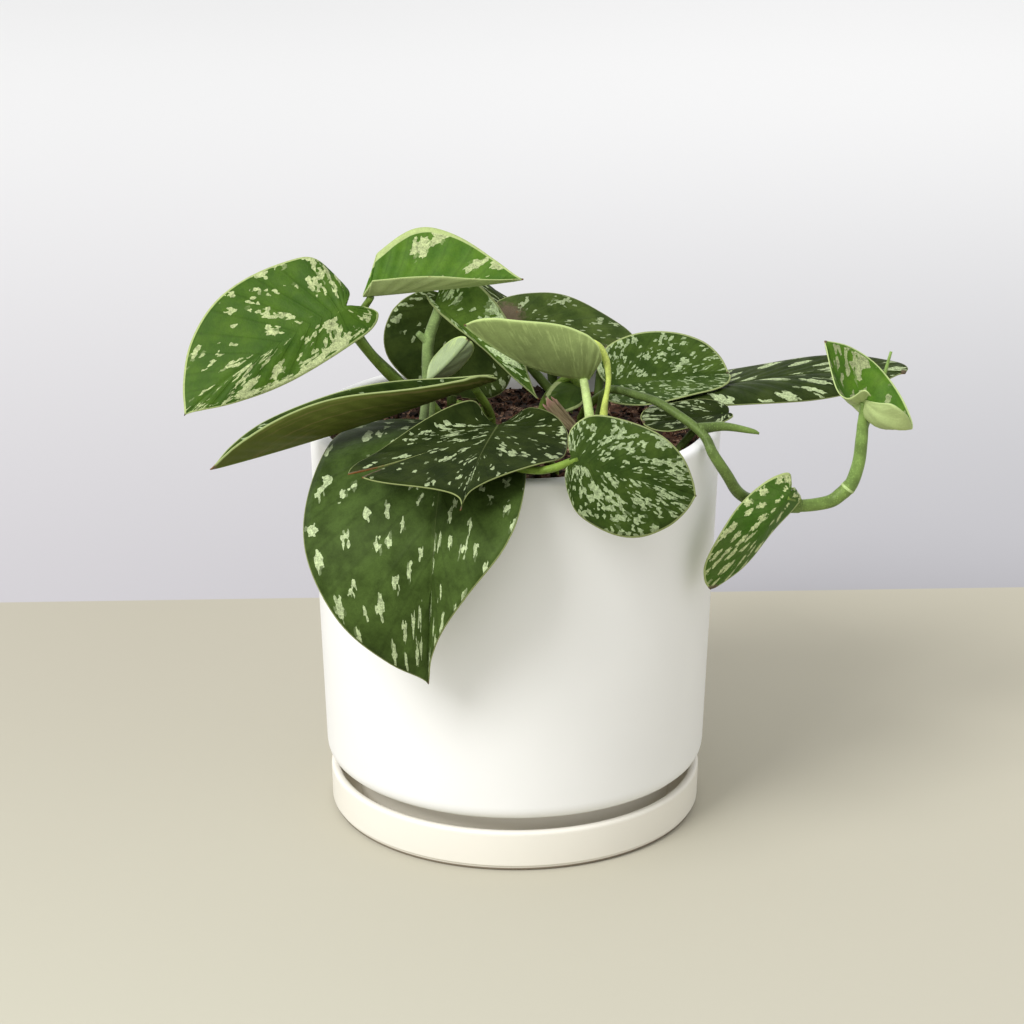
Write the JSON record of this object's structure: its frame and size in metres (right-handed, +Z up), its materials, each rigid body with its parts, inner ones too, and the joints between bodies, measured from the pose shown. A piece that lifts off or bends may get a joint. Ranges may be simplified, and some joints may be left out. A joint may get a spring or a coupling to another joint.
{
  "type": "satin pothos in a pot",
  "caption": "Trailing aroid house plant with heart-shaped, silver-blotched leaves, growing in soil in a straight white pot that stands in a shallow round saucer.",
  "frame": {"origin": "centre of the saucer's flat underside, on the pot's axis", "axes": "+Z up along the pot's axis, +X to the right in the picture, where the vine hangs out, and -Y to the front, toward the viewer"},
  "size_m": [0.2666, 0.2274, 0.2166],
  "materials": {
    "pot_ceramic": "satin",
    "saucer_ceramic": "satin",
    "soil": "matte",
    "leaf_fresh": "satin",
    "leaf_mid": "satin",
    "leaf_dark": "satin",
    "leaf_pale": "satin",
    "stem_green": "satin",
    "stem_yellow": "satin",
    "stem_dry": "matte"
  },
  "bodies": {
    "root": {"pot": "pot_ceramic", "saucer": "saucer_ceramic", "soil": "soil", "leaf_left_large": "leaf_fresh", "leaf_top_cupped": "leaf_fresh", "leaf_left_long": "leaf_mid", "leaf_front_drooping": "leaf_dark", "leaf_front_wide": "leaf_dark", "leaf_front_right": "leaf_mid", "leaf_centre_underside": "leaf_pale", "leaf_centre_streaked": "leaf_mid", "leaf_back_brown": "leaf_dark", "leaf_back_left": "leaf_dark", "leaf_young_rolled": "leaf_pale", "leaf_right_round": "leaf_mid", "leaf_right_long": "leaf_dark", "leaf_right_low": "leaf_dark", "leaf_vine_hanging": "leaf_fresh", "leaf_vine_end": "leaf_fresh", "leaf_small_shaded": "leaf_mid", "leaf_back_dark": "leaf_dark", "leaf_back_hidden_right": "leaf_dark", "leaf_back_hidden_left": "leaf_dark", "vine_right": "stem_green", "stalk_yellow": "stem_yellow", "sheath_dry": "stem_dry"}
  },
  "joints": []
}
